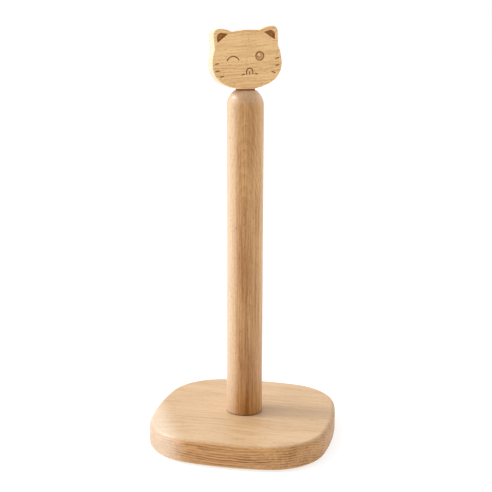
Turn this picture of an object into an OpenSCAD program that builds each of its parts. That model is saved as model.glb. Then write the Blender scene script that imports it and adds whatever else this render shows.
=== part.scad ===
/* [Base board] */
// Width of the board across its bowed sides
board_w = 152; // [140:1:200]
// Thickness of the board
board_t = 20; // [18:1:30]
// How far each side bows out beyond the ends of the corner arcs
side_bow = 2; // [1:0.5:4]
// Radius of the board's corners, seen from above
corner_r = 47.5; // [30:0.5:50]
// Width of the board's rounded top edge, seen from above
rim_w = 3.5; // [2:0.5:6]
// Height of that rounding, seen from the side
rim_h = 6; // [3:0.5:8]
// Rounding of the board's bottom edge
edge_bottom_r = 3; // [1:0.5:5]

/* [Pole] */
// Diameter of the pole that the roll slides over
pole_d = 30; // [26:0.5:34]
// Length of the pole, from the board to the flat on its domed tip
pole_len = 269.2; // [230:0.1:320]
// Diameter of the flat on top of the dome
tip_flat_d = 17.5; // [16:0.5:20]
// Chamfer around the pole's foot
foot_chamfer = 0.6; // [0.3:0.1:1.5]

/* [Cat head] */
// Width of the head across its cheeks
head_w = 56.6; // [50:0.1:70]
// Width of the head across its two ears
ears_w = 52.2; // [46:0.1:54]
// Height of the head from chin to ear tips
head_h = 48; // [47:0.5:52]
// Thickness of the head
head_t = 16.5; // [14:0.5:24]
// Turn of the head about the pole, away from the board's front side
head_turn = 26.5; // [-45:0.5:45]
// Lean of the head towards its left ear
head_lean = 3.4; // [0:0.1:5]
// How far the chin stands to the right of the pole's axis
chin_shift = 0.7; // [-2:0.1:2]
// Depth of the engraved face
engrave_depth = 0.7; // [0.3:0.1:1.5]
// Width of the engraved lines
line_w = 0.9; // [0.6:0.1:1.4]

/* [Neck] */
// Outer diameter of the dark ring between pole and head
neck_ring_d = 15.6; // [12:0.1:16]
// Thickness of that ring
neck_ring_t = 1.2; // [0.8:0.1:3]
// Diameter of the dowel that plugs the head into the pole
dowel_d = 8; // [6:0.5:10]
// Depth to which the dowel sits in the pole
dowel_in_pole = 22; // [15:1:30]
// Depth to which the dowel is glued into the head
dowel_in_head = 20; // [12:1:24]
// Radial clearance of the dowel in the pole, the ring and the head
running_gap = 0.05; // [0.02:0.01:0.1]

/* [Fastening under the board] */
// Diameter of the bolt's shank
bolt_d = 6; // [5:0.5:6]
// Length of the bolt under its head
bolt_len = 28; // [25:1:30]
// Diameter of the bolt's round head
bolt_head_d = 10.5; // [9.5:0.5:12]
// Height of the bolt's head
bolt_head_h = 3.3; // [3:0.1:3.6]
// Hexagon key size of the bolt, across flats
bolt_key = 4; // [3:0.5:5]
// Outer diameter of the washer
washer_d = 18; // [14:0.5:20]
// Thickness of the washer
washer_t = 1.6; // [1:0.1:2]
// Depth of the counterbore that hides the bolt's head
counterbore_depth = 7; // [6.5:0.5:8]
// Outer diameter of the threaded insert in the pole
insert_d = 9; // [8.5:0.5:10]
// Length of the threaded insert
insert_len = 15; // [12:1:18]

/* [Pads] */
// Diameter of each pad
pad_d = 12; // [8:1:18]
// Thickness of each pad
pad_t = 2; // [1.5:0.5:3]
// Distance that each pad stands out below the board
pad_proud = 1; // [0.5:0.5:1]
// Distance of each pad's centre from the board's middle, along X and along Y
pad_offset = 46; // [30:1:48]

/* [Hidden] */
$fn = 96;
eps = 0.01;
// Angle between the flats that make up the board's rounded edges
edge_step = 15;
pad_names = ["foot_pad_1", "foot_pad_2", "foot_pad_3", "foot_pad_4"];

// Heights of the faces where the pieces meet; a hair of air lets the ring turn on the pole
seat_gap = 0.02;
board_z = pad_proud;
pole_z = board_z + board_t;
tip_z = pole_z + pole_len;
ring_z = tip_z + seat_gap;
seat_z = ring_z + neck_ring_t;

// Board outline: four corner arcs joined smoothly by four bowed side arcs
half_w = board_w / 2;
corner_c = half_w - side_bow - corner_r;
side_c = (pow(half_w - corner_r, 2) - 2 * pow(corner_c, 2)) / (2 * (corner_c - half_w + corner_r));
side_r = half_w + side_c;
side_angle = atan2(corner_c, corner_c + side_c);

// Pole tip
pole_r = pole_d / 2;
dome_h = sqrt(pow(pole_r, 2) - pow(tip_flat_d / 2, 2));

// Clearances and recesses
bolt_clearance = 0.3;
bolt_hole_r = bolt_d / 2 + bolt_clearance;
counterbore_r = washer_d / 2 + 1;
thread_gap = 0.05;
press = 0.05;
insert_hole_depth = insert_len + 3;
insert_flange_t = 1.2;
insert_flange_r = insert_d / 2 + 1.5;
dowel_chamfer = 0.8;
dowel_bore_extra = 2;
pad_recess_gap = 0.2;
// Depth of the small flat cut under the chin, where the head rests on the ring
seat_cut = 0.4;
bolt_seat_z = board_z + counterbore_depth - washer_t;
key_depth = 2.2;
head_taper = 1.5;
pad_spots = [[1, 1], [-1, 1], [-1, -1], [1, -1]];

// Head outline, drawn upright with the chin at the origin and x to the viewer's right
chin_r = 43;
chin_angle = 25.2;
jaw_r = (head_w / 2 - chin_r * sin(chin_angle)) / (1 - sin(chin_angle));
jaw_c = [head_w / 2 - jaw_r, chin_r - (chin_r - jaw_r) * cos(chin_angle)];
cheek_r = 33.5;
cheek_c = [head_w / 2 - cheek_r, jaw_c[1]];
ear_side_r = 150;
ear_tip_r = 4.6;
ear_tip_c = [ears_w / 2 - ear_tip_r, head_h - ear_tip_r];
ear_side_c = ear_tip_c - [ear_side_r - ear_tip_r, 0];
ear_top_r = 20;
ear_top_c = ear_tip_c - [0, ear_top_r - ear_tip_r];
crown_drop = 1.9;
crown_r = 70;
crown_c = [0, head_h - crown_drop - crown_r];
valley_r = 2.2;

// Face: places and sizes of the engraved features
eye_at = [10.2, 25.45];
eye_r = 3.7;
glint_at = [9.65, 26.35];
glint_r = 1.5;
wink_at = [-11.5, 21.25];
wink_r = 5.1;
wink_sweep = [24, 156];
muzzle_at = [1.4, 13.95];
muzzle_r = 2.5;
muzzle_drop = 2.05;
philtrum = 1.6;
smile_at = [4.6, 9.3];
smile_r = 2.7;
smile_sweep = [60, 96];
whisker_len = 2.5;
left_whiskers = [[-24.6, 21.35, 3], [-24.3, 15.8, 6], [-21.05, 11.3, 13]];
right_whiskers = [[24.4, 22.9, 13], [24.1, 17.4, 6], [20.75, 12.2, -20]];
inner_ear_tip = [14.7, 43.5];
inner_ear_c = [19.6, 41];
inner_ear_r = 3.8;
inner_ear_foot = [23.1, 37.4];

// Points along a circular arc, from angle a0 to angle a1 in n steps
function arc(c, r, a0, a1, n, first = 0) =
    [for (i = [first:n]) c + r * [cos(a0 + (a1 - a0) * i / n), sin(a0 + (a1 - a0) * i / n)]];

// The same without its first point, to follow another arc that ends there
function next_arc(c, r, a0, a1, n) = arc(c, r, a0, a1, n, 1);

// Centre of the fillet of radius r that touches circles 1 and 2 from outside, to the left
// (side = 1) or the right (side = -1) of the line from c1 to c2
function fillet_centre(c1, r1, c2, r2, r, side) =
    let (d = norm(c2 - c1), u = (c2 - c1) / d)
    let (a = (pow(r1 + r, 2) - pow(r2 + r, 2) + d * d) / (2 * d))
    c1 + a * u + side * sqrt(pow(r1 + r, 2) - a * a) * [-u[1], u[0]];

function angle_to(p, q) = atan2(q[1] - p[1], q[0] - p[0]);

// The left half of a symmetric outline, without the two points on its middle line
function mirrored(points) = [for (i = [len(points) - 2:-1:1]) [-points[i][0], points[i][1]]];

// Right half of the head's outline, from the chin up over the ear to the middle of the crown
side_valley = fillet_centre(cheek_c, cheek_r, ear_side_c, ear_side_r, valley_r, -1);
crown_valley = fillet_centre(crown_c, crown_r, ear_top_c, ear_top_r, valley_r, 1);
half_outline = concat(
    arc([0, chin_r], chin_r, -90, -90 + chin_angle, 10),
    next_arc(jaw_c, jaw_r, -90 + chin_angle, 0, 14),
    next_arc(cheek_c, cheek_r, 0, angle_to(cheek_c, side_valley), 8),
    next_arc(side_valley, valley_r, angle_to(side_valley, cheek_c),
        angle_to(side_valley, ear_side_c) - 360, 5),
    next_arc(ear_side_c, ear_side_r, angle_to(ear_side_c, side_valley), 0, 4),
    next_arc(ear_tip_c, ear_tip_r, 0, 90, 10),
    next_arc(ear_top_c, ear_top_r, 90, angle_to(ear_top_c, crown_valley), 5),
    next_arc(crown_valley, valley_r, angle_to(crown_valley, ear_top_c), angle_to(crown_valley, crown_c), 5),
    next_arc(crown_c, crown_r, angle_to(crown_c, crown_valley), 90, 5)
);

// One quarter of the board's outline, drawn inset by some amount: the bowed side across +X, then
// the corner that follows it
function board_quarter(inset) = concat(
    next_arc([-side_c, 0], side_r - inset, -side_angle, side_angle, 10),
    next_arc([corner_c, corner_c], corner_r - inset, side_angle, 90 - side_angle, 14)
);

function turned(points, a) =
    [for (p = points) [p[0] * cos(a) - p[1] * sin(a), p[0] * sin(a) + p[1] * cos(a)]];

function board_outline(inset) = [for (a = [0:90:270]) each turned(board_quarter(inset), a)];

// ---------- Board ----------

// The rounded edge of the board from bottom to top: height, and how far the outline is inset there
function board_edge() = [
    for (a = [0:edge_step:90]) [edge_bottom_r * (1 - cos(a)), edge_bottom_r * (1 - sin(a))],
    for (a = [0:edge_step:90]) [board_t - rim_h * (1 - sin(a)), rim_w * (1 - cos(a))]
];

// The board's outer shape: its outline stacked up the rounded edge, with two triangles between
// each pair of neighbouring points and the pair above them
module board_blank() {
    edge = board_edge();
    n = len(board_outline(0));
    corners = [for (e = edge) for (p = board_outline(e[1])) [p[0], p[1], e[0]]];
    underside = [for (k = [0:n - 1]) k];
    top_side = [for (k = [n - 1:-1:0]) n * (len(edge) - 1) + k];
    walls = [
        for (row = [0:len(edge) - 2])
            for (k = [0:n - 1])
                let (a = n * row + k, b = n * row + (k + 1) % n)
                    each [[a, a + n, b + n], [a, b + n, b]]
    ];
    polyhedron(points = corners, faces = concat([underside], walls, [top_side]));
}

module base_board() {
    color("burlywood")
        difference() {
            translate([0, 0, board_z]) board_blank();
            translate([0, 0, board_z - eps]) cylinder(r = bolt_hole_r, h = board_t + 2 * eps);
            translate([0, 0, board_z - eps]) cylinder(r = counterbore_r, h = counterbore_depth + eps);
            for (p = pad_spots)
                translate([p[0] * pad_offset, p[1] * pad_offset, board_z - eps])
                    cylinder(d = pad_d + pad_recess_gap, h = pad_t - pad_proud + eps);
        }
}

// ---------- Pole ----------

module pole_body() {
    cylinder(r1 = pole_r - foot_chamfer, r2 = pole_r, h = foot_chamfer);
    translate([0, 0, foot_chamfer]) cylinder(r = pole_r, h = pole_len - dome_h - foot_chamfer);
    translate([0, 0, pole_len - dome_h])
        intersection() {
            sphere(r = pole_r);
            translate([-pole_d, -pole_d, 0]) cube([2 * pole_d, 2 * pole_d, dome_h]);
        }
}

module pole() {
    color("peru")
        translate([0, 0, pole_z])
            difference() {
                pole_body();
                translate([0, 0, -eps]) cylinder(r = insert_d / 2 - press, h = insert_hole_depth + eps);
                translate([0, 0, -eps])
                    cylinder(r = insert_flange_r + thread_gap, h = insert_flange_t + eps);
                translate([0, 0, pole_len - dowel_in_pole - dowel_bore_extra])
                    cylinder(r = dowel_d / 2 + running_gap, h = dowel_in_pole + dowel_bore_extra + eps);
            }
}

module pole_insert() {
    color("goldenrod")
        translate([0, 0, pole_z])
            difference() {
                union() {
                    cylinder(d = insert_d, h = insert_len);
                    cylinder(r = insert_flange_r, h = insert_flange_t);
                }
                translate([0, 0, -eps]) cylinder(r = bolt_d / 2 + thread_gap, h = insert_len + 2 * eps);
            }
}

// ---------- Bolt and washer, driven up from under the board ----------

module base_bolt() {
    color("silver")
        translate([0, 0, bolt_seat_z])
            difference() {
                union() {
                    cylinder(d = bolt_d, h = bolt_len);
                    translate([0, 0, -bolt_head_h])
                        cylinder(d1 = bolt_head_d - 2 * head_taper, d2 = bolt_head_d, h = bolt_head_h);
                }
                translate([0, 0, -bolt_head_h - eps])
                    cylinder(d = bolt_key / cos(30), h = key_depth + eps, $fn = 6);
            }
}

module base_washer() {
    color("lightgray")
        translate([0, 0, bolt_seat_z])
            difference() {
                cylinder(d = washer_d, h = washer_t);
                translate([0, 0, -eps]) cylinder(r = bolt_hole_r, h = washer_t + 2 * eps);
            }
}

// ---------- Neck ----------

module neck_ring() {
    color("saddlebrown")
        translate([0, 0, ring_z])
            difference() {
                cylinder(d = neck_ring_d, h = neck_ring_t);
                translate([0, 0, -eps]) cylinder(r = dowel_d / 2 + running_gap, h = neck_ring_t + 2 * eps);
            }
}

module head_dowel() {
    shank = seat_z + dowel_in_head - (tip_z - dowel_in_pole) - 2 * dowel_chamfer;
    color("wheat")
        translate([0, 0, tip_z - dowel_in_pole]) {
            cylinder(d1 = dowel_d - 2 * dowel_chamfer, d2 = dowel_d, h = dowel_chamfer);
            translate([0, 0, dowel_chamfer]) cylinder(d = dowel_d, h = shank);
            translate([0, 0, dowel_chamfer + shank])
                cylinder(d1 = dowel_d, d2 = dowel_d - 2 * dowel_chamfer, h = dowel_chamfer);
        }
}

// ---------- Cat head ----------

// A line with round ends, centred on a point and turned by an angle
module stroke(at, length, angle) {
    translate(at)
        rotate(angle)
            polygon(concat(arc([length / 2, 0], line_w / 2, -90, 90, 8),
                arc([-length / 2, 0], line_w / 2, 90, 270, 8)));
}

// A curved line with round ends, along a circle from angle sweep[0] up to sweep[1]
module arc_stroke(at, r, sweep) {
    end_0 = r * [cos(sweep[0]), sin(sweep[0])];
    end_1 = r * [cos(sweep[1]), sin(sweep[1])];
    translate(at)
        polygon(concat(
            arc([0, 0], r + line_w / 2, sweep[0], sweep[1], 16),
            next_arc(end_1, line_w / 2, sweep[1], sweep[1] + 180, 8),
            next_arc([0, 0], r - line_w / 2, sweep[1], sweep[0], 16),
            arc(end_0, line_w / 2, sweep[0] + 180, sweep[0] + 337.5, 7, 1)
        ));
}

module open_eye() {
    difference() {
        translate(eye_at) circle(r = eye_r);
        translate(glint_at) circle(r = glint_r);
    }
}

module muzzle() {
    arc_stroke(muzzle_at, muzzle_r, [0, 180]);
    for (s = [-1, 1]) stroke(muzzle_at + [s * muzzle_r, -muzzle_drop / 2], muzzle_drop, 90);
    stroke(muzzle_at - [0, muzzle_drop / 2], philtrum, 90);
    for (s = [-1, 1])
        arc_stroke(muzzle_at + [s * smile_at[0], smile_at[1] - muzzle_at[1]], smile_r,
            s > 0 ? smile_sweep : [180 - smile_sweep[1], 180 - smile_sweep[0]]);
}

module whisker_set() {
    for (w = concat(left_whiskers, right_whiskers)) stroke([w[0], w[1]], whisker_len, w[2]);
}

// Rounded triangle burnt into each ear
module inner_ear() {
    polygon(concat([inner_ear_tip], arc(inner_ear_c, inner_ear_r, 95, 0, 10), [inner_ear_foot]));
}

module face_marks() {
    open_eye();
    arc_stroke(wink_at, wink_r, wink_sweep);
    muzzle();
    whisker_set();
    inner_ear();
    mirror([1, 0]) inner_ear();
}

// The head stands upright with its face towards -Y
module upright_head() {
    rotate([90, 0, 0])
        difference() {
            translate([0, 0, -head_t / 2])
                linear_extrude(head_t) polygon(concat(half_outline, mirrored(half_outline)));
            translate([0, 0, head_t / 2 - engrave_depth])
                linear_extrude(engrave_depth + eps) face_marks();
        }
}

module cat_head() {
    color("tan")
        difference() {
            translate([0, 0, seat_z])
                rotate([0, 0, head_turn])
                    translate([chin_shift, 0, -seat_cut])
                        rotate([0, -head_lean, 0]) upright_head();
            translate([-head_w, -head_w, seat_z - head_h])
                cube([2 * head_w, 2 * head_w, head_h]);
            translate([0, 0, seat_z - eps])
                cylinder(r = dowel_d / 2 + running_gap, h = dowel_in_head + eps);
        }
}

// ---------- Pads ----------

module foot_pad(i) {
    color("gainsboro")
        translate([pad_spots[i][0] * pad_offset, pad_spots[i][1] * pad_offset, 0])
            cylinder(d = pad_d, h = pad_t);
}

base_board();
pole();
pole_insert();
base_bolt();
base_washer();
neck_ring();
head_dowel();
cat_head();
for (i = [0:3]) foot_pad(i);
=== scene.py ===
"""Looks of the paper towel holder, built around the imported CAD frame.

Shapes are worked out in millimetres and scaled once, in Shell.build. All but the head, which is
drawn flat and then stood up, are drawn in the frame's own axes.
"""

import math

import bpy
from mathutils import Matrix, Vector, geometry


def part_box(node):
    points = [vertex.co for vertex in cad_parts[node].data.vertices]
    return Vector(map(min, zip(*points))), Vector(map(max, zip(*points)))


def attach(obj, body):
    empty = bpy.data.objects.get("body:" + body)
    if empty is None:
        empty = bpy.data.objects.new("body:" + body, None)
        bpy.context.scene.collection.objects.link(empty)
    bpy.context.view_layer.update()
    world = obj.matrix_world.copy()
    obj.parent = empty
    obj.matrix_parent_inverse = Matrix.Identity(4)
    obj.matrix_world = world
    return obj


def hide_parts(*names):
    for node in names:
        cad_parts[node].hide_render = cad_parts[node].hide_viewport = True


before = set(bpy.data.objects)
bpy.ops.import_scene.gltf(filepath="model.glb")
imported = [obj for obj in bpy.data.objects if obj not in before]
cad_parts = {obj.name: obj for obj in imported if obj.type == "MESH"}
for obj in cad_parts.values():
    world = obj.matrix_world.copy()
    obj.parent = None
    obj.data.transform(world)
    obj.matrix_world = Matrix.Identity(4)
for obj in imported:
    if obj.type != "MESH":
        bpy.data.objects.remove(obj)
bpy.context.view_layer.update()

MM = 0.001


# ---------------------------------------------------------------- places taken from the frame

def box_mm(node):
    """Lowest and highest corner of a CAD node, in millimetres."""
    low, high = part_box(node)
    return low / MM, high / MM


board_low, board_high = box_mm("base_board")
pole_low, pole_high = box_mm("pole")
insert_low, insert_high = box_mm("pole_insert")
bolt_low, bolt_high = box_mm("base_bolt")
washer_low, washer_high = box_mm("base_washer")
ring_low, ring_high = box_mm("neck_ring")
dowel_low, dowel_high = box_mm("head_dowel")


# ---------------------------------------------------------------- small geometry helpers

def arc(centre, radius, start, end, steps, first=0):
    """Points along a circular arc, with angles in degrees."""
    points = []
    for i in range(first, steps + 1):
        a = math.radians(start + (end - start) * i / steps)
        points.append((centre[0] + radius * math.cos(a), centre[1] + radius * math.sin(a)))
    return points


def next_arc(centre, radius, start, end, steps):
    """The same arc without its first point, to follow another that ends there."""
    return arc(centre, radius, start, end, steps, 1)


def angle_to(p, q):
    return math.degrees(math.atan2(q[1] - p[1], q[0] - p[0]))


def fillet_centre(c1, r1, c2, r2, r, side):
    """Centre of a fillet that touches two circles from outside, left (1) or right (-1) of c1 to c2."""
    dx, dy = c2[0] - c1[0], c2[1] - c1[1]
    d = math.hypot(dx, dy)
    u = (dx / d, dy / d)
    a = ((r1 + r) ** 2 - (r2 + r) ** 2 + d * d) / (2 * d)
    h = side * math.sqrt((r1 + r) ** 2 - a * a)
    return (c1[0] + a * u[0] - h * u[1], c1[1] + a * u[1] + h * u[0])


def inset_loop(points, amount):
    """A closed anticlockwise loop moved inwards along its corner normals."""
    n = len(points)
    moved = []
    for i in range(n):
        before, here, after = Vector(points[i - 1]), Vector(points[i]), Vector(points[(i + 1) % n])
        e1 = (here - before).normalized()
        e2 = (after - here).normalized()
        n1, n2 = Vector((-e1.y, e1.x)), Vector((-e2.y, e2.x))
        along = (n1 + n2).normalized()
        moved.append(tuple(here + along * amount / max(0.4, along.dot(n1))))
    return moved


def inside(point, loop):
    """True if the point lies inside the closed loop."""
    x, y = point
    result = False
    n = len(loop)
    for i in range(n):
        (x1, y1), (x2, y2) = loop[i - 1], loop[i]
        if (y1 > y) != (y2 > y) and x < (x2 - x1) * (y - y1) / (y2 - y1) + x1:
            result = not result
    return result


def circle(radius, steps, centre=(0, 0)):
    return arc(centre, radius, 0, 360 - 360 / steps, steps - 1)


def quarter_turn(steps):
    return [math.radians(90 * k / steps) for k in range(steps + 1)]


def lower_edge(width, height, z, steps):
    """(inset, z) points up a rounded edge, from the flat underside at z to the side."""
    return [(width * (1 - math.sin(a)), z + height * (1 - math.cos(a))) for a in quarter_turn(steps)]


def upper_edge(width, height, z, steps):
    """(inset, z) points up a rounded edge, from the side to the flat top at z."""
    return [(width * (1 - math.cos(a)), z - height * (1 - math.sin(a))) for a in quarter_turn(steps)]


class Shell:
    """Collects the points and faces of one closed surface, in millimetres."""

    def __init__(self):
        self.points = []
        self.faces = []
        self.burn = {}

    def ring(self, loop, z, burn=0.0):
        """Adds a closed loop of 2D points at one height and gives back its indices."""
        first = len(self.points)
        self.points += [(x, y, z) for x, y in loop]
        indices = list(range(first, len(self.points)))
        if burn:
            self.burn.update({i: burn for i in indices})
        return indices

    def bridge(self, lower, upper):
        """Quads between two rings of equal count. They face outwards when lower is below upper."""
        n = len(lower)
        for i in range(n):
            j = (i + 1) % n
            self.faces.append((lower[i], lower[j], upper[j], upper[i]))

    def stack(self, rings):
        for lower, upper in zip(rings, rings[1:]):
            self.bridge(lower, upper)

    def cap(self, outer, holes=(), inner=(), up=True, spacing=None, clear=0.5, level=None, extra=()):
        """Fills the area between an outer ring and its holes with a flat, even triangle mesh.

        Rings in inner lie within the area and are followed exactly, each at its own height.
        level(x, y) gives the height and the burn of the spots added between the rings, and extra
        lists further spots with theirs.
        """
        rings = [outer, *holes, *inner]
        indices = [i for ring in rings for i in ring]
        loops = [[self.points[i][:2] for i in ring] for ring in rings]
        flat = [Vector(p) for loop in loops for p in loop]
        edges = []
        start = 0
        for ring in rings:
            n = len(ring)
            edges += [(start + k, start + (k + 1) % n) for k in range(n)]
            start += n
        if spacing:
            z = self.points[outer[0]][2]
            loops.append([e[:2] for e in extra])
            spots = [(*spot, *(level(*spot) if level else (z, 0.0)))
                     for spot in self._even_spots(loops, spacing, clear)]
            for x, y, height, burn in [*spots, *extra]:
                indices.append(len(self.points))
                self.burn[len(self.points)] = burn
                self.points.append((x, y, height))
                flat.append(Vector((x, y)))
        made = geometry.delaunay_2d_cdt(flat, edges, [], 0, 1e-6)
        hole_loops = loops[1:1 + len(holes)]
        for face in made[2]:
            corners = [made[0][k] for k in face]
            middle = tuple(sum((Vector(c) for c in corners), Vector((0, 0))) / len(corners))
            if not inside(middle, loops[0]) or any(inside(middle, h) for h in hole_loops):
                continue
            ids = [indices[made[3][k][0]] for k in face]
            self.faces.append(tuple(ids if up else reversed(ids)))

    def _even_spots(self, loops, spacing, clear):
        """Staggered spots inside the first loop that keep clear of every loop."""
        xs = [p[0] for p in loops[0]]
        ys = [p[1] for p in loops[0]]
        near = [p for loop in loops for p in loop]
        spots = []
        row = 0
        y = min(ys) + spacing / 2
        while y < max(ys):
            x = min(xs) + spacing * (0.25 if row % 2 else 0.75)
            while x < max(xs):
                far_enough = all((x - p[0]) ** 2 + (y - p[1]) ** 2 > clear * clear for p in near)
                if far_enough and inside((x, y), loops[0]):
                    spots.append((x, y))
                x += spacing
            y += spacing * math.sqrt(3) / 2
            row += 1
        return spots

    def build(self, name, sharp=35, place=Matrix.Identity(4)):
        """Makes the Blender object, smooth shaded apart from edges sharper than the given angle."""
        mesh = bpy.data.meshes.new(name)
        mesh.from_pydata([tuple(c * MM for c in p) for p in self.points], [], self.faces)
        mesh.validate()
        if any(self.burn.values()):
            layer = mesh.attributes.new("burn", "FLOAT", "POINT")
            for i, value in self.burn.items():
                layer.data[i].value = value
        for polygon in mesh.polygons:
            polygon.use_smooth = True
        mesh.set_sharp_from_angle(angle=math.radians(sharp))
        obj = bpy.data.objects.new(name, mesh)
        bpy.context.scene.collection.objects.link(obj)
        obj.matrix_world = place
        return obj


def finish_piece(obj, body, node, material):
    """Gives a piece its material and body, and hides the CAD node that it replaces."""
    obj.data.materials.clear()
    obj.data.materials.append(material)
    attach(obj, body)
    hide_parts(node)


def lathe(name, profile, steps=96, closed=False, shape=None, sharp=35):
    """Turns a profile of (radius, z) points about Z. The first and last points lie on the axis,
    unless the profile is closed. shape(angle, radius, z) may change each radius."""
    shell = Shell()
    rings = []
    for radius, z in profile:
        if radius < 1e-6:
            shell.points.append((0, 0, z))
            rings.append(len(shell.points) - 1)
            continue
        loop = []
        for i in range(steps):
            a = 2 * math.pi * i / steps
            r = shape(a, radius, z) if shape else radius
            loop.append((r * math.cos(a), r * math.sin(a)))
        rings.append(shell.ring(loop, z))
    pairs = list(zip(rings, rings[1:])) + ([(rings[-1], rings[0])] if closed else [])
    for a, b in pairs:
        if isinstance(a, int) and isinstance(b, int):
            continue
        if isinstance(a, int):
            shell.faces += [(a, b[(i + 1) % steps], b[i]) for i in range(steps)]
        elif isinstance(b, int):
            shell.faces += [(a[i], a[(i + 1) % steps], b) for i in range(steps)]
        else:
            shell.bridge(a, b)
    return shell.build(name, sharp)


# ---------------------------------------------------------------- material helpers

class Nodes:
    """A short way to write a node tree: every call makes one node and returns an output."""

    def __init__(self, name):
        self.material = bpy.data.materials.new(name)
        self.material.use_nodes = True
        self.tree = self.material.node_tree
        self.bsdf = self.tree.nodes["Principled BSDF"]

    def node(self, kind, **settings):
        made = self.tree.nodes.new(kind)
        for key, value in settings.items():
            setattr(made, key, value)
        return made

    def link(self, source, target):
        if isinstance(source, (int, float)):
            target.default_value = source
        elif isinstance(source, (tuple, list)):
            values = list(source)
            if target.type == "RGBA" and len(values) == 3:
                values.append(1.0)
            target.default_value = values
        else:
            self.tree.links.new(source, target)

    def place(self):
        """Position on the piece, in millimetres, and its normal, both in the piece's own axes."""
        coordinates = self.node("ShaderNodeTexCoord")
        scaled = self.vector("SCALE", coordinates.outputs["Object"], scale=1 / MM)
        return scaled, coordinates.outputs["Normal"]

    def vector(self, operation, a, b=None, scale=None):
        made = self.node("ShaderNodeVectorMath", operation=operation)
        self.link(a, made.inputs[0])
        if b is not None:
            self.link(b, made.inputs[1])
        if scale is not None:
            self.link(scale, made.inputs["Scale"])
        return made.outputs["Value"] if operation in ("DOT_PRODUCT", "LENGTH") else made.outputs[0]

    def math(self, operation, a, b=0.0, clamp=False):
        made = self.node("ShaderNodeMath", operation=operation, use_clamp=clamp)
        for value, socket in zip((a, b), made.inputs):
            self.link(value, socket)
        return made.outputs[0]

    def mapped(self, position, rotation=(0, 0, 0), scale=(1, 1, 1), location=(0, 0, 0)):
        made = self.node("ShaderNodeMapping")
        self.link(position, made.inputs["Vector"])
        made.inputs["Rotation"].default_value = [math.radians(a) for a in rotation]
        made.inputs["Scale"].default_value = scale
        made.inputs["Location"].default_value = location
        return made.outputs[0]

    def noise(self, position, scale=1.0, detail=3.0, rough=0.5):
        made = self.node("ShaderNodeTexNoise", noise_dimensions="3D")
        self.link(position, made.inputs["Vector"])
        made.inputs["Scale"].default_value = scale
        made.inputs["Detail"].default_value = detail
        made.inputs["Roughness"].default_value = rough
        made.inputs["Distortion"].default_value = 0.0
        return made.outputs["Fac"]

    def spread(self, value, low, high, to_low=0.0, to_high=1.0):
        """Maps low..high smoothly to to_low..to_high, held at both ends."""
        made = self.node("ShaderNodeMapRange", clamp=True, interpolation_type="SMOOTHSTEP")
        self.link(value, made.inputs["Value"])
        for socket, v in zip(("From Min", "From Max", "To Min", "To Max"), (low, high, to_low, to_high)):
            made.inputs[socket].default_value = v
        return made.outputs["Result"]

    def mix(self, factor, a, b, blend="MIX"):
        made = self.node("ShaderNodeMix", data_type="RGBA", blend_type=blend)
        self.link(factor, made.inputs["Factor"])
        self.link(a, made.inputs["A"])
        self.link(b, made.inputs["B"])
        return made.outputs["Result"]

    def ramp(self, value, stops):
        made = self.node("ShaderNodeValToRGB")
        elements = made.color_ramp.elements
        while len(elements) < len(stops):
            elements.new(0.5)
        for element, (position, level) in zip(elements, stops):
            element.position = position
            element.color = (level, level, level, 1)
        self.link(value, made.inputs["Fac"])
        return made.outputs["Color"]

    def attribute(self, name):
        return self.node("ShaderNodeAttribute", attribute_name=name).outputs["Fac"]

    def bump(self, height, distance, strength):
        made = self.node("ShaderNodeBump")
        made.inputs["Distance"].default_value = distance
        made.inputs["Strength"].default_value = strength
        self.link(height, made.inputs["Height"])
        return made.outputs[0]


def srgb(r, g, b):
    """A colour given as 0 to 255 screen values, as linear values."""
    def linear(v):
        v /= 255
        return v / 12.92 if v <= 0.04045 else ((v + 0.055) / 1.055) ** 2.4
    return (linear(r), linear(g), linear(b))


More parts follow.
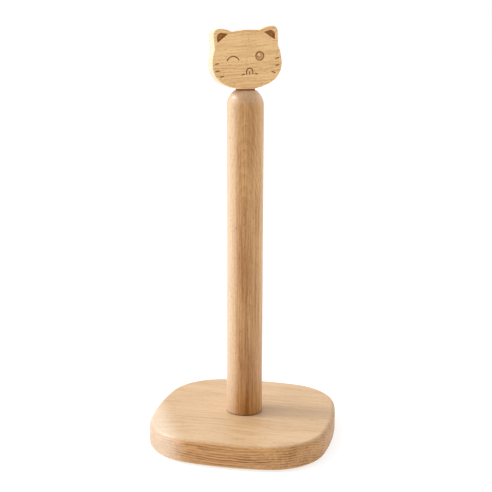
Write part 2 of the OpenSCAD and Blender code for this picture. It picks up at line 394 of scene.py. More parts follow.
def beech(name, light, dark, grain="X", pith=(0, 60), ring=2.0, side_light=None, side_dark=None,
          rings=0.5, side_rings=0.5, streak=0.5, flecks=0.5, wave=1.0, cone=None, painted_shades=(), painted_light_bands=(),
          stretch=1.0, rough=0.46, coat=0.8, shine=0.35, seed=0.0, burnt=None):
    """Oiled beech: growth rings about a pith line, fibres and short dark flecks along the grain.

    The texture is solid, so rings show as streaks along the grain and as arcs on the end grain.
    pith is where the tree's axis passes, across the grain, and ring the width of a year's growth.
    cone (start, slope) closes the rings beyond a place along the grain, which draws nested arches.
    side_light and side_dark are used on faces that stand upright in the piece's own axes.
    Each shade (direction, from, to, amount) is painted shade where it darkens the wood across the
    piece and painted light where it lightens it, and each band (direction, from, to, colour, amount)
    is a painted highlight along one edge where its colour is pale and a painted shadow where it is
    dark. Both are fixed to the piece. They stand in for light and shade as seen from the camera's
    side, so they stay where they are when the light or the view changes. A stretch above 1 shortens
    the fibres.
    """
    n = Nodes(name)
    raw, normal = n.place()
    turn = {"X": (0, 0, 0), "Z": (0, 90, 0)}[grain]
    p = n.mapped(raw, rotation=turn)
    along = n.mapped(normal, rotation=turn)
    end = n.math("ABSOLUTE", n.vector("DOT_PRODUCT", along, (1, 0, 0)))
    end = n.spread(end, 0.35, 0.95)
    up = n.spread(n.math("ABSOLUTE", n.vector("DOT_PRODUCT", normal, (0, 0, 1))), 0.35, 0.9)

    # the fibres wander slowly, which bends every streak
    sway = n.noise(n.mapped(p, scale=(0.011, 0.03, 0.03), location=(seed, seed, 0)), detail=2.0)
    ripple = n.noise(n.mapped(p, scale=(0.05, 0.14, 0.14), location=(0, seed, seed)), detail=2.0)
    shift = n.math("ADD", n.math("MULTIPLY", n.math("SUBTRACT", sway, 0.5), 9 * wave),
                   n.math("MULTIPLY", n.math("SUBTRACT", ripple, 0.5), 2.2 * wave))
    if cone:
        beyond = n.math("SUBTRACT", n.vector("DOT_PRODUCT", p, (1, 0, 0)), cone[0])
        beyond = n.math("MAXIMUM", beyond, 0.0)
        shift = n.math("ADD", shift, n.math("MULTIPLY", beyond, cone[1]))

    across = n.mapped(p, scale=(0, 1, 1), location=(0, -pith[0], -pith[1]))
    radius = n.math("ADD", n.vector("LENGTH", across), shift)
    year = n.math("DIVIDE", radius, ring)
    # years differ: some bands are wide and dark, others hardly show
    differs = n.noise(n.mapped(p, scale=(0.006, 0.16, 0.16), location=(seed, 0, 3)), detail=2.0)
    growth = [(0.0, 0.0), (0.4, 0.15), (0.8, 0.8), (0.92, 1.0), (1.0, 0.0)]
    latewood = n.ramp(n.math("FRACT", year), growth)
    latewood = n.math("MULTIPLY", latewood, n.spread(differs, 0.32, 0.68, 0.15, 1.0))

    fibre = n.noise(n.mapped(p, scale=(0.022 * stretch, 0.85, 0.85), location=(0, 0, seed)),
                    detail=5.0, rough=0.62)
    fine = n.noise(n.mapped(p, scale=(0.14 * stretch, 1.8, 1.8), location=(seed, 0, 0)),
                   detail=5.0, rough=0.66)
    patch = n.noise(n.mapped(p, scale=(0.014, 0.05, 0.05), location=(seed, 2, 0)), detail=2.0)

    shown = n.math("ADD", n.math("MULTIPLY", up, rings - side_rings), side_rings)
    tone = n.math("MULTIPLY", latewood, shown)
    tone = n.math("ADD", tone, n.math("MULTIPLY", n.math("SUBTRACT", fibre, 0.42), 1.6 * streak))
    tone = n.math("ADD", tone, n.math("MULTIPLY", n.math("SUBTRACT", patch, 0.45), 0.7))
    tone = n.math("ADD", tone, n.math("MULTIPLY", n.math("SUBTRACT", fine, 0.5), 1.1 * streak))
    # painted shade and painted light across the piece
    for direction, start, stop, amount in painted_shades:
        part = n.spread(n.vector("DOT_PRODUCT", raw, direction), start, stop, 0.0, amount)
        tone = n.math("ADD", tone, part)
    tone = n.math("ADD", tone, 0.0, clamp=True)

    pale, deep = light, dark
    if side_light:
        pale = n.mix(up, side_light, light)
        deep = n.mix(up, side_dark, dark)
    colour = n.mix(tone, pale, deep)

    # painted highlights and painted shadows along the edges
    for direction, start, stop, tint, amount in painted_light_bands:
        part = n.spread(n.vector("DOT_PRODUCT", raw, direction), start, stop, 0.0, amount)
        colour = n.mix(part, colour, tint)

    # medullary rays: short dark dashes, a few tenths of a millimetre thick
    dash = n.noise(n.mapped(p, scale=(0.36, 2.3, 2.3), location=(seed, seed, 7)), detail=1.0)
    dash = n.math("MULTIPLY", n.spread(dash, 0.62, 0.74), n.math("SUBTRACT", 1.0, end))
    colour = n.mix(n.math("MULTIPLY", dash, flecks), colour, deep, "MULTIPLY")

    # end grain is darker and shows its pores
    pores = n.noise(n.mapped(p, scale=(0.4, 3.2, 3.2), location=(0, 5, seed)), detail=3.0, rough=0.7)
    end_tone = n.math("MULTIPLY", end, n.spread(pores, 0.35, 0.7, 0.05, 0.3))
    colour = n.mix(end_tone, colour, n.mix(0.5, deep, (0.05, 0.02, 0.01)))

    roughness = n.spread(fibre, 0.3, 0.7, rough - 0.06, rough + 0.08)
    relief = n.math("ADD", n.math("MULTIPLY", fine, 0.6), n.math("MULTIPLY", latewood, -0.4))
    relief = n.math("ADD", relief, n.math("MULTIPLY", dash, -0.8))

    if burnt:
        # the walls of the engraving are burnt more than its floor
        boost = n.math("SUBTRACT", 2.2, n.math("MULTIPLY", up, 1.2))
        char = n.math("MULTIPLY", n.attribute("burn"), boost)
        soot = n.noise(raw, scale=0.9, detail=4.0, rough=0.65)
        char = n.math("MULTIPLY", char, n.spread(soot, 0.25, 0.75, 0.75, 1.0), clamp=True)
        scorched = n.mix(n.spread(fibre, 0.35, 0.65), burnt[0], burnt[1])
        colour = n.mix(char, colour, scorched)
        roughness = n.math("ADD", roughness, n.math("MULTIPLY", char, 0.25), clamp=True)

    n.link(colour, n.bsdf.inputs["Base Color"])
    n.link(roughness, n.bsdf.inputs["Roughness"])
    n.link(n.bump(relief, 0.12 * MM, 0.5), n.bsdf.inputs["Normal"])
    n.bsdf.inputs["Specular IOR Level"].default_value = shine
    n.bsdf.inputs["Coat Weight"].default_value = coat
    n.bsdf.inputs["Coat Roughness"].default_value = 0.3
    return n.material


def leather():
    """Brown leather of the thin ring, with a pebbled surface and darker layers in its cut edge."""
    n = Nodes("neck_leather")
    position, _ = n.place()
    pebble = n.noise(position, scale=2.2, detail=4.0, rough=0.6)
    layers = n.noise(n.mapped(position, scale=(0.6, 0.6, 7.0)), detail=3.0)
    colour = n.mix(n.spread(pebble, 0.3, 0.7), srgb(138, 74, 22), srgb(166, 98, 38))
    colour = n.mix(n.spread(layers, 0.45, 0.7, 0.0, 0.45), colour, srgb(112, 56, 14))
    n.link(colour, n.bsdf.inputs["Base Color"])
    n.link(n.spread(pebble, 0.3, 0.7, 0.55, 0.8), n.bsdf.inputs["Roughness"])
    n.link(n.bump(pebble, 0.1 * MM, 0.6), n.bsdf.inputs["Normal"])
    return n.material


def metal(name, colour, worn, rough, brushed):
    """Plated metal with fine turning marks, small stains and roughness that varies with them."""
    n = Nodes(name)
    position, _ = n.place()
    marks = n.noise(n.mapped(position, scale=brushed), detail=4.0, rough=0.6)
    stain = n.noise(position, scale=0.35, detail=4.0, rough=0.6)
    tint = n.mix(n.spread(stain, 0.45, 0.75), colour, worn)
    n.link(n.mix(n.spread(marks, 0.3, 0.7, 0.0, 0.25), tint, worn), n.bsdf.inputs["Base Color"])
    n.link(n.spread(marks, 0.3, 0.7, rough - 0.07, rough + 0.1), n.bsdf.inputs["Roughness"])
    n.link(n.bump(marks, 0.03 * MM, 0.4), n.bsdf.inputs["Normal"])
    n.bsdf.inputs["Metallic"].default_value = 1.0
    return n.material


def rubber():
    """Matt grey pad rubber with a fine moulded grain and a little dust."""
    n = Nodes("pad_rubber")
    position, _ = n.place()
    grain = n.noise(position, scale=3.5, detail=3.0, rough=0.6)
    dust = n.noise(position, scale=0.5, detail=4.0, rough=0.7)
    colour = n.mix(n.spread(grain, 0.3, 0.7), srgb(150, 147, 140), srgb(176, 173, 166))
    colour = n.mix(n.spread(dust, 0.55, 0.8, 0.0, 0.5), colour, srgb(205, 198, 186))
    n.link(colour, n.bsdf.inputs["Base Color"])
    n.link(n.spread(dust, 0.4, 0.7, 0.6, 0.82), n.bsdf.inputs["Roughness"])
    n.link(n.bump(grain, 0.08 * MM, 0.5), n.bsdf.inputs["Normal"])
    return n.material


# Across the view from the camera, along the floor
RIGHT_IN_VIEW, LEFT_IN_VIEW = (0.98, 0.2, 0), (-0.98, -0.2, 0)

# painted highlight: pale at the corner that is on the left in the view
board_wood = beech(
    "board_wood", srgb(209, 176, 136), srgb(172, 130, 84), grain="X", pith=(-80, -127), ring=2.1,
    side_light=srgb(220, 168, 108), side_dark=srgb(134, 74, 24), rings=0.4, side_rings=0.8, streak=0.85,
    flecks=0.45, wave=0.95, seed=3.1, coat=0.15, rough=0.52,
    painted_light_bands=[((-0.9, -0.43, 0), 58, 76, srgb(246, 228, 208), 0.5)])
# Painted light and shade as seen in the view: painted shade left of the middle, painted light right
# of it and painted shade slightly downwards, with a painted highlight along the left edge and on
# the tip, and a painted contact shadow as a dark line where the foot meets the board
pole_wood = beech(
    "pole_wood", srgb(226, 178, 116), srgb(164, 100, 34), grain="Z", pith=(-7.8, -1.6), ring=1.5,
    rings=0.3, side_rings=0.3, streak=0.95, flecks=0.6, wave=0.3, cone=(205, 0.16), seed=8.4, coat=0.55,
    painted_shades=[(RIGHT_IN_VIEW, -12, -2, 0.36), (RIGHT_IN_VIEW, 4, 13, -0.3), ((0, 0, 1), 110, 20, 0.1)],
    painted_light_bands=[(LEFT_IN_VIEW, 3, 13, srgb(234, 214, 190), 0.55),
           ((0, 0, 1), 274, 288, srgb(246, 222, 192), 0.35),
           ((0, 0, -1), -22.3, -21.2, srgb(92, 44, 14), 0.95)])
# painted light: paler towards the right of the face and towards the chin; the pale cream side
# colours are a painted highlight on the cut edges round the outline
head_wood = beech(
    "head_wood", srgb(250, 209, 152), srgb(202, 142, 80), grain="X", pith=(-70, 10), ring=2.6,
    side_light=srgb(250, 230, 204), side_dark=srgb(232, 200, 158),
    rings=0.5, side_rings=0.3, streak=1.1, flecks=0.8, wave=1.3, stretch=2.6, seed=5.7, coat=0.05,
    painted_shades=[((1, 0, 0), 0, 26, -0.14), ((0, -1, 0), -20, -6, -0.12)],
    shine=0.1, burnt=(srgb(132, 62, 4), srgb(158, 86, 16)))
dowel_wood = beech(
    "dowel_wood", srgb(222, 190, 146), srgb(190, 150, 104), grain="Z", pith=(8, 12), ring=1.6,
    rings=0.5, side_rings=0.5, streak=0.6, flecks=0.4, wave=0.4, seed=1.9, rough=0.6)
neck_leather = leather()
zinc_steel = metal("zinc_steel", srgb(196, 198, 202), srgb(150, 150, 148), 0.32, (0.4, 0.4, 6.0))
insert_brass = metal("insert_brass", srgb(205, 168, 98), srgb(150, 112, 60), 0.3, (0.4, 0.4, 7.0))
pad_rubber = rubber()


# ---------------------------------------------------------------- base board

SIDE_BOW = 2.0
CORNER_R = 47.5
RIM_W = 3.5
RIM_H = 6.0
EDGE_BOTTOM_R = 3.0
BOLT_HOLE_R = 3.3
COUNTERBORE_R = 10.0
COUNTERBORE_DEPTH = 7.0
COUNTERBORE_LIP = 0.3
PAD_RECESS_R = 6.1
PAD_RECESS_DEPTH = 1.0
PADS = ["foot_pad_%d" % number for number in (1, 2, 3, 4)]


def board_outline(inset):
    """Four corner arcs joined smoothly by four bowed side arcs."""
    half = (board_high.x - board_low.x) / 2
    corner = half - SIDE_BOW - CORNER_R
    reach = half - CORNER_R
    side = (reach ** 2 - 2 * corner ** 2) / (2 * (corner - reach))
    angle = math.degrees(math.atan2(corner, corner + side))
    quarter = next_arc((-side, 0), half + side - inset, -angle, angle, 22)
    quarter += next_arc((corner, corner), CORNER_R - inset, angle, 90 - angle, 34)
    points = []
    for k in range(4):
        c, s = round(math.cos(k * math.pi / 2)), round(math.sin(k * math.pi / 2))
        points += [(x * c - y * s, x * s + y * c) for x, y in quarter]
    return points


def make_board():
    shell = Shell()
    bottom, top = board_low.z, board_high.z
    # a narrow flat strip inside each rounded edge keeps the shading of the flat faces flat
    profile = [(EDGE_BOTTOM_R + 0.5, bottom)]
    profile += lower_edge(EDGE_BOTTOM_R, EDGE_BOTTOM_R, bottom, 8)
    profile += upper_edge(RIM_W, RIM_H, top, 12)
    profile.append((RIM_W + 0.4, top))
    rings = [shell.ring(board_outline(inset), z) for inset, z in profile]
    shell.stack(rings)

    hole_top = shell.ring(circle(BOLT_HOLE_R, 48), top)
    hole_end = shell.ring(circle(BOLT_HOLE_R, 48), bottom + COUNTERBORE_DEPTH)
    bore_end = shell.ring(circle(COUNTERBORE_R, 72), bottom + COUNTERBORE_DEPTH)
    bore_lip = shell.ring(circle(COUNTERBORE_R, 72), bottom + COUNTERBORE_LIP)
    bore_mouth = shell.ring(circle(COUNTERBORE_R + COUNTERBORE_LIP, 72), bottom)
    shell.bridge(hole_top, hole_end)
    shell.cap(bore_end, holes=[hole_end], up=False)
    shell.stack([bore_end, bore_lip, bore_mouth])

    mouths = [bore_mouth]
    for pad in PADS:
        low, high = box_mm(pad)
        middle = ((low.x + high.x) / 2, (low.y + high.y) / 2)
        mouth = shell.ring(circle(PAD_RECESS_R, 48, middle), bottom)
        end = shell.ring(circle(PAD_RECESS_R, 48, middle), bottom + PAD_RECESS_DEPTH)
        shell.bridge(end, mouth)
        shell.cap(end, up=False, spacing=3.0, clear=1.0)
        mouths.append(mouth)
    shell.cap(rings[-1], holes=[hole_top], spacing=6.0, clear=2.0)
    shell.cap(rings[0], holes=mouths, up=False, spacing=6.0, clear=2.0)
    return shell.build("board")


# ---------------------------------------------------------------- pole and its fastening

INSERT_HOLE_R = 4.3
INSERT_HOLE_DEPTH = 18.0
FLANGE_SEAT_DEPTH = 1.2
FLANGE_GAP = 0.05
DOWEL_BORE_R = 4.05
DOWEL_BORE_DEPTH = 24.0
TIP_FLAT_R = 8.75
FOOT_CHAMFER = 0.6
BOLT_SHANK_R = 3.0
KEY_SOCKET_R = 2.31
KEY_SOCKET_DEPTH = 2.2
INSERT_R = 4.5
INSERT_BORE_R = 3.05


def make_pole():
    foot, tip = pole_low.z, pole_high.z
    radius = pole_high.x
    dome = math.sqrt(radius ** 2 - TIP_FLAT_R ** 2)
    flange_seat_r = insert_high.x + FLANGE_GAP
    profile = [(0, foot + INSERT_HOLE_DEPTH), (INSERT_HOLE_R, foot + INSERT_HOLE_DEPTH),
               (INSERT_HOLE_R, foot + FLANGE_SEAT_DEPTH), (flange_seat_r, foot + FLANGE_SEAT_DEPTH),
               (flange_seat_r, foot), (radius - 1.6, foot), (radius - FOOT_CHAMFER - 0.15, foot)]
    profile += arc((radius - FOOT_CHAMFER, foot + FOOT_CHAMFER), FOOT_CHAMFER, -90, 0, 5)
    straight_end = tip - dome
    profile += [(radius, foot + FOOT_CHAMFER + (straight_end - foot - FOOT_CHAMFER) * k / 24)
                for k in range(1, 25)]
    last = math.degrees(math.asin(dome / radius))
    profile += next_arc((0, straight_end), radius, 0, last - 1.5, 22)
    profile += [(TIP_FLAT_R - 0.25, tip), (TIP_FLAT_R - 1.2, tip), (DOWEL_BORE_R + 0.4, tip),
                (DOWEL_BORE_R, tip - 0.4), (DOWEL_BORE_R, tip - DOWEL_BORE_DEPTH),
                (0, tip - DOWEL_BORE_DEPTH)]
    return lathe("pole_shaft", profile, steps=144)


def thread(pitch, depth, start, end):
    """A radius for each angle and height that cuts a helical groove between two heights."""
    def shape(angle, radius, z):
        if not start < z < end:
            return radius
        phase = (z / pitch - angle / (2 * math.pi)) % 1.0
        fade = min(1.0, (z - start) / pitch, (end - z) / pitch)
        return radius - depth * fade * (1 - abs(2 * phase - 1))
    return shape


def make_bolt():
    """Button-headed bolt with a hexagonal key socket and a threaded shank."""
    seat = washer_low.z
    head_r = bolt_high.x
    low = bolt_low.z
    socket = circle(KEY_SOCKET_R, 6)
    shell = Shell()
    steps = 60
    key = shell.ring(socket, low)
    key_end = shell.ring(socket, low + KEY_SOCKET_DEPTH)
    face = shell.ring(circle(3.6, steps), low)
    shell.cap(face, holes=[key], up=False)
    shell.bridge(key_end, key)
    shell.cap(key_end, up=False)
    profile = [(3.6, low), (4.3, low + 0.25), (4.8, low + 0.8), (5.1, low + 1.6), (head_r, low + 2.5),
               (head_r, seat - 0.15), (head_r - 0.15, seat), (BOLT_SHANK_R, seat)]
    rings = [face] + [shell.ring(circle(r, steps), z) for r, z in profile[1:]]
    cut = thread(1.0, 0.55, seat + 3.0, bolt_high.z - 0.3)
    z = seat + 0.5
    while z < bolt_high.z - 0.6:
        loop = []
        for i in range(steps):
            a = 2 * math.pi * i / steps
            r = cut(a, BOLT_SHANK_R, z)
            loop.append((r * math.cos(a), r * math.sin(a)))
        rings.append(shell.ring(loop, z))
        z += 0.125
    rings.append(shell.ring(circle(BOLT_SHANK_R - 0.6, steps), bolt_high.z))
    shell.stack(rings)
    shell.cap(rings[-1])
    return shell.build("bolt", sharp=40)


def make_insert():
    """Flanged insert whose outer thread bites into the pole."""
    low, high = insert_low.z, insert_high.z
    flange = insert_high.x
    profile = [(INSERT_BORE_R, low), (flange - 0.2, low), (flange, low + 0.2), (flange, low + 1.1),
               (flange - 0.1, low + 1.2), (INSERT_R, low + 1.2)]
    z = low + 1.6
    while z < high - 0.4:
        profile.append((INSERT_R, z))
        z += 0.2
    profile += [(INSERT_R - 0.4, high), (INSERT_BORE_R, high)]
    z = high - 0.4
    while z > low + 0.4:
        profile.append((INSERT_BORE_R, z))
        z -= 0.5
    cut = thread(2.0, 0.5, low + 1.7, high - 0.5)

    def outer_thread(angle, radius, z):
        return cut(angle, radius, z) if radius == INSERT_R else radius

    return lathe("insert", profile, steps=60, closed=True, shape=outer_thread, sharp=40)


def make_washer():
    low, high = washer_low.z, washer_high.z
    r, bore = washer_high.x, BOLT_HOLE_R
    profile = [(bore, low + 0.15), (bore + 0.15, low), (r - 0.45, low), (r - 0.12, low + 0.15),
               (r, low + 0.5), (r, high - 0.1), (r - 0.1, high), (bore + 0.1, high), (bore, high - 0.1)]
    return lathe("washer", profile, steps=72, closed=True)


def make_ring():
    low, high = ring_low.z, ring_high.z
    r, bore = ring_high.x, DOWEL_BORE_R
    profile = [(bore, low + 0.1), (bore + 0.1, low), (r - 0.3, low), (r - 0.09, low + 0.09),
               (r, low + 0.3), (r, high - 0.3), (r - 0.09, high - 0.09), (r - 0.3, high),
               (bore + 0.1, high), (bore, high - 0.1)]
    return lathe("ring_of_leather", profile, steps=96, closed=True)


DOWEL_ROUND = 0.8
FLUTES = 16
FLUTE_DEPTH = 0.22


def make_dowel():
    """Dowel with rounded ends, smooth below and fluted for the glue where it sits in the head."""
    low, high = dowel_low.z, dowel_high.z
    r = dowel_high.x
    flute_from = ring_high.z + 1.0
    flute_full = flute_from + DOWEL_ROUND
    profile = [(0, low), (r - 1.0, low), (r - DOWEL_ROUND, low + 0.03)]
    profile += next_arc((r - DOWEL_ROUND, low + DOWEL_ROUND), DOWEL_ROUND, -90, 0, 5)
    profile += [(r, low + DOWEL_ROUND + (flute_from - low - DOWEL_ROUND) * k / 10) for k in range(1, 11)]
    profile += [(r, flute_from + DOWEL_ROUND / 2), (r, flute_full)]
    profile += [(r, flute_full + (high - DOWEL_ROUND - flute_full) * k / 8) for k in range(1, 9)]
    profile += next_arc((r - DOWEL_ROUND, high - DOWEL_ROUND), DOWEL_ROUND, 0, 90, 5)
    profile += [(r - 1.0, high), (0, high)]

    def flutes(angle, radius, z):
        fade = max(0.0, min(1.0, (z - flute_from) / DOWEL_ROUND))
        if radius < r - 0.3:
            return radius
        return radius - FLUTE_DEPTH * fade * max(0.0, math.cos(FLUTES * angle)) ** 2

    return lathe("dowel", profile, steps=128, shape=flutes)


def make_pad(node):
    low, high = box_mm(node)
    middle = ((low.x + high.x) / 2, (low.y + high.y) / 2)
    r = (high.x - low.x) / 2
    profile = [(r - 1.4, low.z)] + arc((r - 0.5, low.z + 0.5), 0.5, -90, 0, 6)
    profile += [(r, high.z - 0.15), (r - 0.15, high.z), (r - 1.0, high.z)]
    shell = Shell()
    rings = [shell.ring(circle(radius, 64, middle), z) for radius, z in profile]
    shell.stack(rings)
    shell.cap(rings[0], up=False, spacing=1.6, clear=0.7)
    shell.cap(rings[-1], spacing=1.6, clear=0.7)
    return shell.build(node + "_rubber")


# ---------------------------------------------------------------- cat head

HEAD_W = 56.6
HEAD_T = 16.5
HEAD_H = 48.0
EARS_W = 52.2
HEAD_TURN = 26.5
HEAD_LEAN = 3.4
CHIN_SHIFT = 0.7
SEAT_CUT = 0.4
EDGE_R = 0.9
ENGRAVE = 0.7
HALF_LINE = 0.42
HEAD_SHARP = 38


def head_outline():
    """Closed outline, drawn upright with the chin at the origin."""
    chin_r, chin_angle = 43.0, 25.2
    jaw_r = (HEAD_W / 2 - chin_r * math.sin(math.radians(chin_angle))) / (
        1 - math.sin(math.radians(chin_angle)))
    jaw_c = (HEAD_W / 2 - jaw_r, chin_r - (chin_r - jaw_r) * math.cos(math.radians(chin_angle)))
    cheek_r = 33.5
    cheek_c = (HEAD_W / 2 - cheek_r, jaw_c[1])
    tip_r, side_r, top_r, crown_r, valley_r = 4.6, 150.0, 20.0, 70.0, 2.2
    tip_c = (EARS_W / 2 - tip_r, HEAD_H - tip_r)
    side_c = (tip_c[0] - (side_r - tip_r), tip_c[1])
    top_c = (tip_c[0], tip_c[1] - (top_r - tip_r))
    crown_dip = 1.9
    crown_c = (0, HEAD_H - crown_dip - crown_r)
    side_valley = fillet_centre(cheek_c, cheek_r, side_c, side_r, valley_r, -1)
    crown_valley = fillet_centre(crown_c, crown_r, top_c, top_r, valley_r, 1)
    half = arc((0, chin_r), chin_r, -90, -90 + chin_angle, 20)
    half += next_arc(jaw_c, jaw_r, -90 + chin_angle, 0, 30)
    half += next_arc(cheek_c, cheek_r, 0, angle_to(cheek_c, side_valley), 16)
    half += next_arc(side_valley, valley_r, angle_to(side_valley, cheek_c),
                     angle_to(side_valley, side_c) - 360, 8)
    half += next_arc(side_c, side_r, angle_to(side_c, side_valley), 0, 10)
    half += next_arc(tip_c, tip_r, 0, 90, 18)
    half += next_arc(top_c, top_r, 90, angle_to(top_c, crown_valley), 12)
    half += next_arc(crown_valley, valley_r, angle_to(crown_valley, top_c),
                     angle_to(crown_valley, crown_c), 8)
    half += next_arc(crown_c, crown_r, angle_to(crown_c, crown_valley), 90, 14)
    return half + [(-x, y) for x, y in reversed(half[1:-1])]


def stroke(path, half_width):
    """Outline of a line with round ends that follows a path."""
    count = len(path)
    left, right = [], []
    for i, (x, y) in enumerate(path):
        x0, y0 = path[max(i - 1, 0)]
        x1, y1 = path[min(i + 1, count - 1)]
        d = math.hypot(x1 - x0, y1 - y0)
        nx, ny = -(y1 - y0) / d, (x1 - x0) / d
        left.append((x + nx * half_width, y + ny * half_width))
        right.append((x - nx * half_width, y - ny * half_width))
    start, end = angle_to(path[1], path[0]), angle_to(path[-2], path[-1])
    cap_end = arc(path[-1], half_width, end - 90, end + 90, 8)[1:-1]
    cap_start = arc(path[0], half_width, start - 90, start + 90, 8)[1:-1]
    return right + cap_end + left[::-1] + cap_start


def straight(middle, length, angle):
    a = math.radians(angle)
    dx, dy = math.cos(a) * length / 2, math.sin(a) * length / 2
    return [(middle[0] + dx * k / 3, middle[1] + dy * k / 3) for k in (-3, -1, 1, 3)]


def line_marks():
    """Centre lines of the engraved strokes: wink, muzzle, smile and whiskers."""
    wink = arc((-11.5, 21.25), 5.1, 156, 24, 22)
    left_leg = [(-1.1, 11.9), (-1.1, 12.6), (-1.1, 13.3)]
    arch = arc((1.4, 13.95), 2.5, 180, 0, 18)
    right_leg = [(3.9, 13.3), (3.9, 12.6), (3.9, 11.9)]
    lines = [wink, left_leg + arch + right_leg, straight((1.35, 12.7), 1.6, 90)]
    lines.append(arc((-3.2, 9.3), 2.7, 84, 124, 8))
    lines.append(arc((6.0, 9.3), 2.7, 96, 62, 8))
    for x, y, angle in ((-24.6, 21.35, 3), (-24.3, 15.8, 6), (-21.05, 11.3, 13),
                        (24.4, 22.9, 13), (24.1, 17.4, 6), (20.75, 12.2, -20)):
        lines.append(straight((x, y), 2.5, angle))
    return lines


def inner_ear(side):
    """Rounded triangle inside an ear, anticlockwise."""
    tip, foot = (14.7, 43.5), (23.1, 37.4)
    corner = arc((19.6, 41.0), 3.8, 0, 95, 14)
    edge = [(tip[0] + (foot[0] - tip[0]) * k / 8, tip[1] + (foot[1] - tip[1]) * k / 8)
            for k in range(0, 9)]
    loop = corner + edge
    return loop if side > 0 else [(-x, y) for x, y in reversed(loop)]


# Steps across a groove's wall: inset, share of the depth, and how burnt the wood is there
GROOVE = [(-0.22, 0.0, 0.0), (0.0, 0.0, 0.45), (0.07, 0.6, 0.85), (0.17, 1.0, 1.0)]
LINE_BURN = 0.75
EYE_BURN = 0.3
FACE_EDGE = HEAD_T / 2
EYE, EYE_R = (10.2, 25.45), 3.7
GLINT, GLINT_R = (9.65, 26.35), 1.5
EYE_RING = 0.75


def eye_spots():
    """Even spots over the sunken part of the eye, dark near its rim and paler towards the middle."""
    spots = []
    step = 0.36
    count = int(EYE_R / step) + 1
    for i in range(-count, count + 1):
        for j in range(-count, count + 1):
            x = EYE[0] + (i + (0.5 if j % 2 else 0.0)) * step
            y = EYE[1] + j * step * 0.87
            rim = EYE_R - math.dist((x, y), EYE)
            glint = math.dist((x, y), GLINT) - GLINT_R
            if rim < 0.3 or glint < 0.3:
                continue
            burn = LINE_BURN if rim < EYE_RING or glint < 0.45 else EYE_BURN
            spots.append((x, y, FACE_EDGE - ENGRAVE, burn))
    return spots


def engraved(x, y):
    """Height of the face and its burn at a spot clear of the engraved edges."""
    if any(inside((x, y), inner_ear(side)) for side in (-1, 1)):
        return FACE_EDGE - ENGRAVE, 1.0
    return FACE_EDGE, 0.0


def make_head():
    shell = Shell()
    outline = head_outline()
    profile = [(EDGE_R + 0.35, -FACE_EDGE), *lower_edge(EDGE_R, EDGE_R, -FACE_EDGE, 6), (0.0, 0.0),
               *upper_edge(EDGE_R, EDGE_R, FACE_EDGE, 6), (EDGE_R + 0.35, FACE_EDGE)]
    rings = [shell.ring(inset_loop(outline, inset) if inset else outline, z) for inset, z in profile]
    shell.stack(rings)
    shell.cap(rings[0], up=False, spacing=2.5, clear=1.2)

    marks = []
    for inset, depth, burn in GROOVE:
        z = FACE_EDGE - ENGRAVE * depth
        for path in line_marks():
            marks.append(shell.ring(stroke(path, HALF_LINE - inset), z, burn * LINE_BURN))
        for side in (-1, 1):
            marks.append(shell.ring(inset_loop(inner_ear(side), inset), z, burn))
        marks.append(shell.ring(circle(EYE_R - inset, 48, EYE), z, burn * LINE_BURN))
        marks.append(shell.ring(circle(GLINT_R + inset, 32, GLINT), z, burn * LINE_BURN))
    shell.cap(rings[-1], inner=marks, spacing=1.6, clear=0.55, level=engraved, extra=eye_spots())

    # the outline was drawn flat: stand it up with its face towards -Y, lean it, turn it, set it down
    place = (Matrix.Translation((0, 0, ring_high.z * MM))
             @ Matrix.Rotation(math.radians(HEAD_TURN), 4, "Z")
             @ Matrix.Translation((CHIN_SHIFT * MM, 0, -SEAT_CUT * MM))
             @ Matrix.Rotation(math.radians(-HEAD_LEAN), 4, "Y")
             @ Matrix.Rotation(math.radians(90), 4, "X"))
    head = shell.build("head", sharp=HEAD_SHARP, place=place)
    cut_seat(head)
    return head


def cut_seat(head):
    """Cuts the small flat under the chin and the bore for the dowel."""
    cutter = Shell()
    seat = ring_high.z
    wide, narrow = circle(14, 64), circle(DOWEL_BORE_R, 64)
    rings = [cutter.ring(wide, seat - 10), cutter.ring(wide, seat), cutter.ring(narrow, seat),
             cutter.ring(narrow, dowel_high.z)]
    cutter.stack(rings)
    cutter.cap(rings[0], up=False)
    cutter.cap(rings[-1])
    tool = cutter.build("seat_cutter")
    cut = head.modifiers.new("seat", "BOOLEAN")
    cut.operation = "DIFFERENCE"
    cut.solver = "EXACT"
    cut.object = tool
    bpy.context.view_layer.update()
    evaluated = head.evaluated_get(bpy.context.evaluated_depsgraph_get())
    mesh = bpy.data.meshes.new_from_object(evaluated)
    head.modifiers.clear()
    head.data = mesh
    mesh.set_sharp_from_angle(angle=math.radians(HEAD_SHARP))
    bpy.data.objects.remove(tool)


# ---------------------------------------------------------------- assembly

finish_piece(make_board(), "stand", "base_board", board_wood)
finish_piece(make_pole(), "stand", "pole", pole_wood)
finish_piece(make_insert(), "stand", "pole_insert", insert_brass)
finish_piece(make_bolt(), "stand", "base_bolt", zinc_steel)
finish_piece(make_washer(), "stand", "base_washer", zinc_steel)
finish_piece(make_ring(), "neck", "neck_ring", neck_leather)
finish_piece(make_dowel(), "head", "head_dowel", dowel_wood)
finish_piece(make_head(), "head", "cat_head", head_wood)
for pad in PADS:
    finish_piece(make_pad(pad), "stand", pad, pad_rubber)


# ---------------------------------------------------------------- floor, light and camera

def make_floor():
    """Plain floor that glows, so that it is as white as the backdrop and meets it without an edge."""
    half = 30.0
    mesh = bpy.data.meshes.new("floor")
    mesh.from_pydata([(-half, -half, 0), (half, -half, 0), (half, half, 0), (-half, half, 0)],
                     [], [(0, 1, 2, 3)])
    floor = bpy.data.objects.new("floor", mesh)
    bpy.context.scene.collection.objects.link(floor)
    n = Nodes("floor_white")
    n.bsdf.inputs["Base Color"].default_value = (0.4, 0.4, 0.4, 1)
    n.bsdf.inputs["Emission Color"].default_value = (1, 1, 1, 1)
    n.bsdf.inputs["Emission Strength"].default_value = 0.7
    n.bsdf.inputs["Roughness"].default_value = 0.9
    n.bsdf.inputs["Specular IOR Level"].default_value = 0.0
    floor.data.materials.append(n.material)


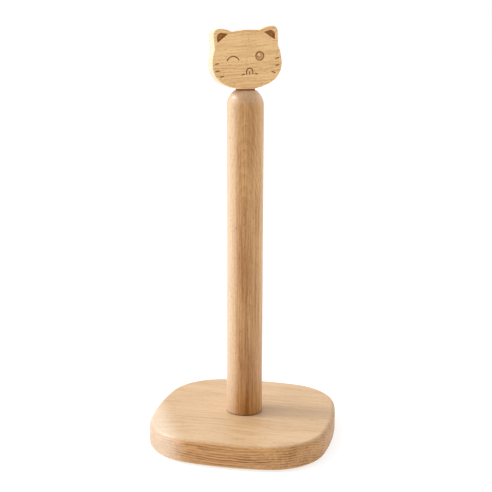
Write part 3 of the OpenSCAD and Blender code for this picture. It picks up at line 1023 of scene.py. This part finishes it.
# The camera: how far round to the right of the front it stands, how far away and how high in
# metres, where it points, its lens and sensor in millimetres, and its sideways shift
VIEW_TURN = 11.58
DISTANCE = 0.7756
CAMERA_Z = 0.3258
PITCH = 11.826
YAW = 1.146
ROLL = -0.05
LENS = 70.449
SENSOR = 36.0
SHIFT_X = 0.04065

# Each lobe: azimuth from the camera's side (90 is its right), elevation, sharpness and strength
LOBES = [(0, 90, 1.5, 0.62), (-90, 55, 6.0, 2.05), (-75, 20, 8.0, 0.75), (180, 20, 8.0, 1.0),
         (145, 20, 8.0, 0.5), (110, 20, 8.0, 1.5), (0, 20, 8.0, 0.1)]
AMBIENT = 0.03
KEY_AZIMUTH, KEY_ELEVATION = -98, 38


def towards(azimuth, elevation):
    """Direction at an azimuth from the camera's side and an elevation, both in degrees."""
    a, e = math.radians(azimuth + VIEW_TURN), math.radians(elevation)
    return math.sin(a) * math.cos(e), -math.cos(a) * math.cos(e), math.sin(e)


def make_world():
    """Soft white light from above, from both sides and from behind, before a white backdrop."""
    world = bpy.data.worlds.new("studio")
    bpy.context.scene.world = world
    world.use_nodes = True
    tree = world.node_tree
    nodes, links = tree.nodes, tree.links
    nodes.clear()
    direction = nodes.new("ShaderNodeTexCoord").outputs["Generated"]

    def value(kind, a, b):
        made = nodes.new("ShaderNodeMath")
        made.operation = kind
        for v, socket in zip((a, b), made.inputs):
            if isinstance(v, (int, float)):
                socket.default_value = v
            else:
                links.new(v, socket)
        return made.outputs[0]

    total = None
    for azimuth, elevation, width, level in LOBES:
        dot = nodes.new("ShaderNodeVectorMath")
        dot.operation = "DOT_PRODUCT"
        links.new(direction, dot.inputs[0])
        dot.inputs[1].default_value = towards(azimuth, elevation)
        lobe = value("MULTIPLY", value("POWER", value("MAXIMUM", dot.outputs["Value"], 0.0), width), level)
        total = lobe if total is None else value("ADD", total, lobe)
    total = value("ADD", total, AMBIENT)
    light = nodes.new("ShaderNodeBackground")
    links.new(total, light.inputs["Strength"])
    light.inputs["Color"].default_value = (1, 1, 1, 1)
    backdrop = nodes.new("ShaderNodeBackground")
    backdrop.inputs["Color"].default_value = (1, 1, 1, 1)
    backdrop.inputs["Strength"].default_value = 1.0
    path = nodes.new("ShaderNodeLightPath")
    mix = nodes.new("ShaderNodeMixShader")
    links.new(path.outputs["Is Camera Ray"], mix.inputs[0])
    links.new(light.outputs[0], mix.inputs[1])
    links.new(backdrop.outputs[0], mix.inputs[2])
    out = nodes.new("ShaderNodeOutputWorld")
    links.new(mix.outputs[0], out.inputs["Surface"])


def make_sun():
    """One soft key from the left that gives the pole its faint shadow across the board."""
    light = bpy.data.lights.new("key", "SUN")
    light.energy = 1.3
    light.angle = math.radians(16)
    light.color = (1, 1, 1)
    sun = bpy.data.objects.new("key", light)
    back = Vector(towards(KEY_AZIMUTH, KEY_ELEVATION))
    sun.rotation_euler = back.to_track_quat("Z", "Y").to_euler()
    bpy.context.scene.collection.objects.link(sun)


def make_camera():
    data = bpy.data.cameras.new("camera")
    data.sensor_width = SENSOR
    data.lens = LENS
    data.shift_x = SHIFT_X
    data.clip_end = 100
    camera = bpy.data.objects.new("camera", data)
    turn = math.radians(VIEW_TURN)
    camera.matrix_world = (
        Matrix.Translation((DISTANCE * math.sin(turn), -DISTANCE * math.cos(turn), CAMERA_Z))
        @ Matrix.Rotation(math.radians(VIEW_TURN + YAW), 4, "Z")
        @ Matrix.Rotation(math.radians(90 - PITCH), 4, "X")
        @ Matrix.Rotation(math.radians(ROLL), 4, "Z"))
    bpy.context.scene.collection.objects.link(camera)
    bpy.context.scene.camera = camera


make_floor()
make_world()
make_sun()
make_camera()
bpy.context.scene.view_settings.view_transform = "Standard"
